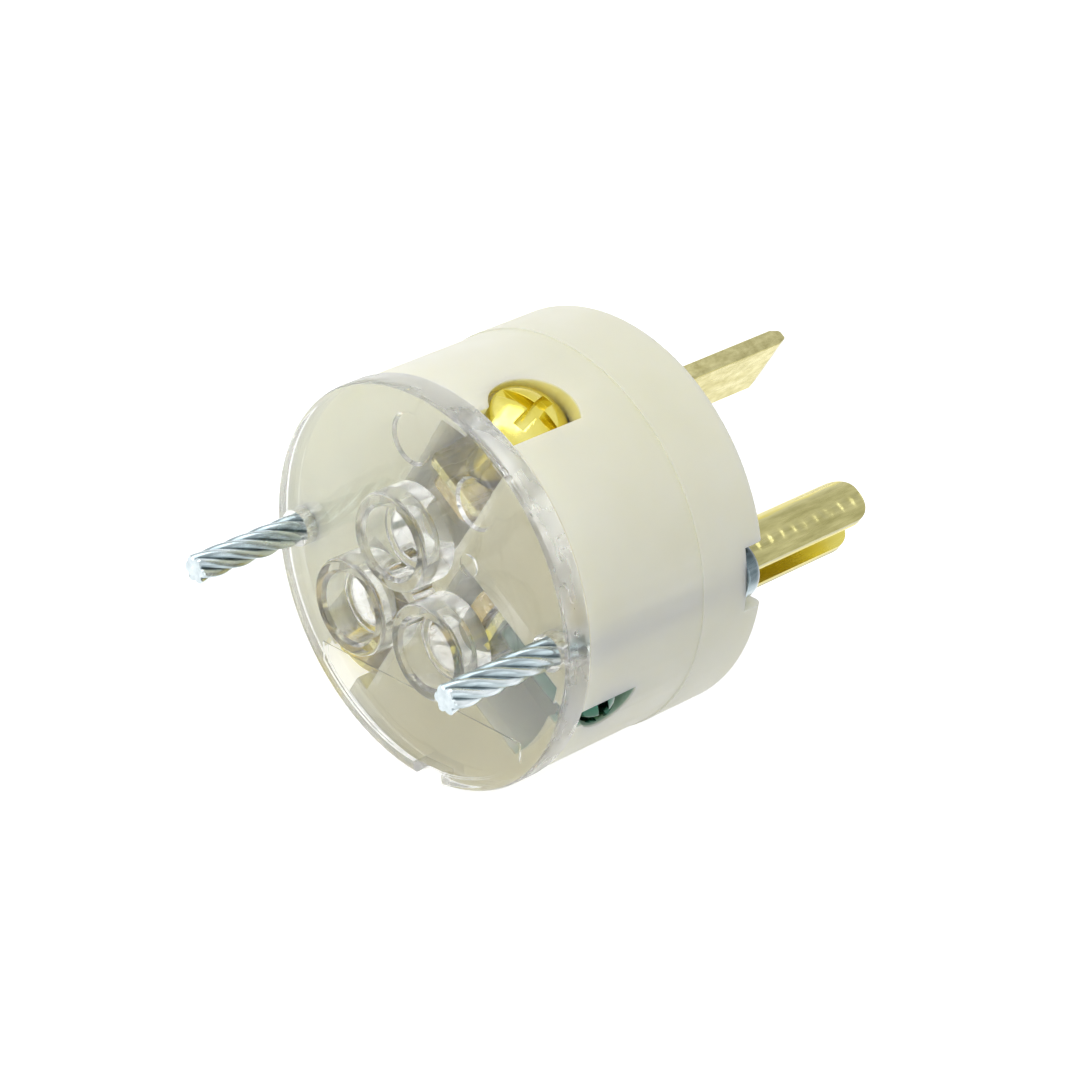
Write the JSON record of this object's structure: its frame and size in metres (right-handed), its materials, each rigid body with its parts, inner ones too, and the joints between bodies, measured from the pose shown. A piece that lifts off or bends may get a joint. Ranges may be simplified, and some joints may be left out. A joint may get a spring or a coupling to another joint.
{
  "type": "rewireable plug",
  "caption": "Round insert of a rewireable grounded plug: ivory moulded body with side screw windows, in-line brass blades, folded ground pin, clear wire guide cover and twisted assembly screws",
  "frame": {"origin": "centre of the flat blade face of the body, from which the blades stand out", "axes": "+Y points out of the blade face along the blades, +Z to the upper line terminal, +X to the ground pin"},
  "size_m": [0.035, 0.054, 0.035],
  "materials": {
    "ivory_body": "satin moulded nylon, slightly translucent",
    "clear_cover": "clear moulded polycarbonate",
    "brass_blade": "pale rolled sheet",
    "brass_ground": "folded sheet",
    "brass_screw": "bright turned",
    "green_screw": "green passivated",
    "brass_clamp": "stamped plate",
    "zinc_screw": "bright zinc plate"
  },
  "bodies": {
    "root": {"body": "ivory_body", "wire_guide_cover": "clear_cover", "line_blade_upper": "brass_blade", "line_blade_lower": "brass_blade", "ground_pin": "brass_ground", "line_screw_upper": "brass_screw", "line_screw_lower": "brass_screw", "ground_screw": "green_screw", "line_clamp_upper": "brass_clamp", "line_clamp_lower": "brass_clamp", "ground_clamp": "brass_clamp", "assembly_screw_right": "zinc_screw", "assembly_screw_left": "zinc_screw"}
  },
  "joints": []
}
